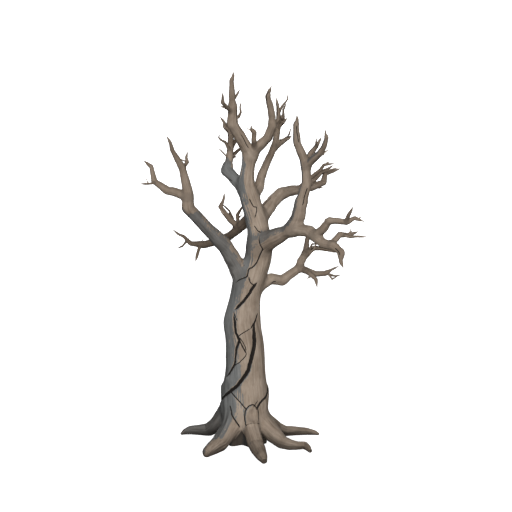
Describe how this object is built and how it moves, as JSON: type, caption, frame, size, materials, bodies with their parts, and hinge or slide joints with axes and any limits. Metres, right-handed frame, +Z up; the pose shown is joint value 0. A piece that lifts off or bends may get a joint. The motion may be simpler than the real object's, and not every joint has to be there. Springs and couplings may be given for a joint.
{
  "type": "dead tree",
  "caption": "Whole bare dead hardwood tree with a stout leaning trunk, surface roots and crooked tapering boughs, cut flat at ground level.",
  "frame": {"origin": "the trunk's axis at ground level, on the flat cut under the trunk", "axes": "+Z up along the tree's height; +X towards the tree's right as first seen, +Y away from the viewer"},
  "size_m": [4.5951, 3.7559, 7.9637],
  "materials": {
    "bare_wood": "bare dead wood without bark, tan-brown, long grain with dark drying cracks",
    "silvered_wood": "bare dead wood weathered silver-grey"
  },
  "bodies": {
    "root": {"trunk": "bare_wood", "root_back_left": "bare_wood", "root_back_right": "bare_wood", "root_front": "bare_wood", "root_front_left": "bare_wood", "root_front_right": "bare_wood", "root_left": "silvered_wood", "root_right": "bare_wood", "backleft": "bare_wood", "backleft_inner": "bare_wood", "backleft_low": "bare_wood", "backleft_riser": "bare_wood", "backleft_spur": "bare_wood", "backleft_twin": "bare_wood", "backright": "bare_wood", "backright_fork": "bare_wood", "backright_mid": "bare_wood", "backright_top": "bare_wood", "backtop": "bare_wood", "backtop_branch": "bare_wood", "backtop_low": "bare_wood", "backtop_mid": "bare_wood", "backtop_out": "bare_wood", "backtop_twig": "bare_wood", "left": "silvered_wood", "left_fork": "bare_wood", "left_fork_spur": "bare_wood", "left_spur": "bare_wood", "lowright": "bare_wood", "lowright_arm": "bare_wood", "lowright_arm_low": "bare_wood", "lowright_arm_out": "bare_wood", "lowright_hook": "bare_wood", "lowright_riser": "bare_wood", "lowright_twig": "bare_wood", "right": "bare_wood", "right_low": "bare_wood", "right_low_arm": "bare_wood", "right_low_arm_twig": "bare_wood", "right_low_finger": "bare_wood", "right_low_hand": "bare_wood", "right_up": "bare_wood", "right_up_fork": "bare_wood", "right_up_horn": "bare_wood", "right_up_twig": "bare_wood", "topleft": "bare_wood", "topleft_curl": "bare_wood", "topleft_hook": "bare_wood", "topleft_spur": "bare_wood", "topright": "bare_wood", "topright_stub": "bare_wood", "upleft": "silvered_wood", "upleft_hook": "bare_wood", "upleft_inner": "bare_wood", "upleft_riser": "bare_wood", "upleft_stub": "bare_wood", "upleft_twig": "bare_wood"}
  },
  "joints": []
}
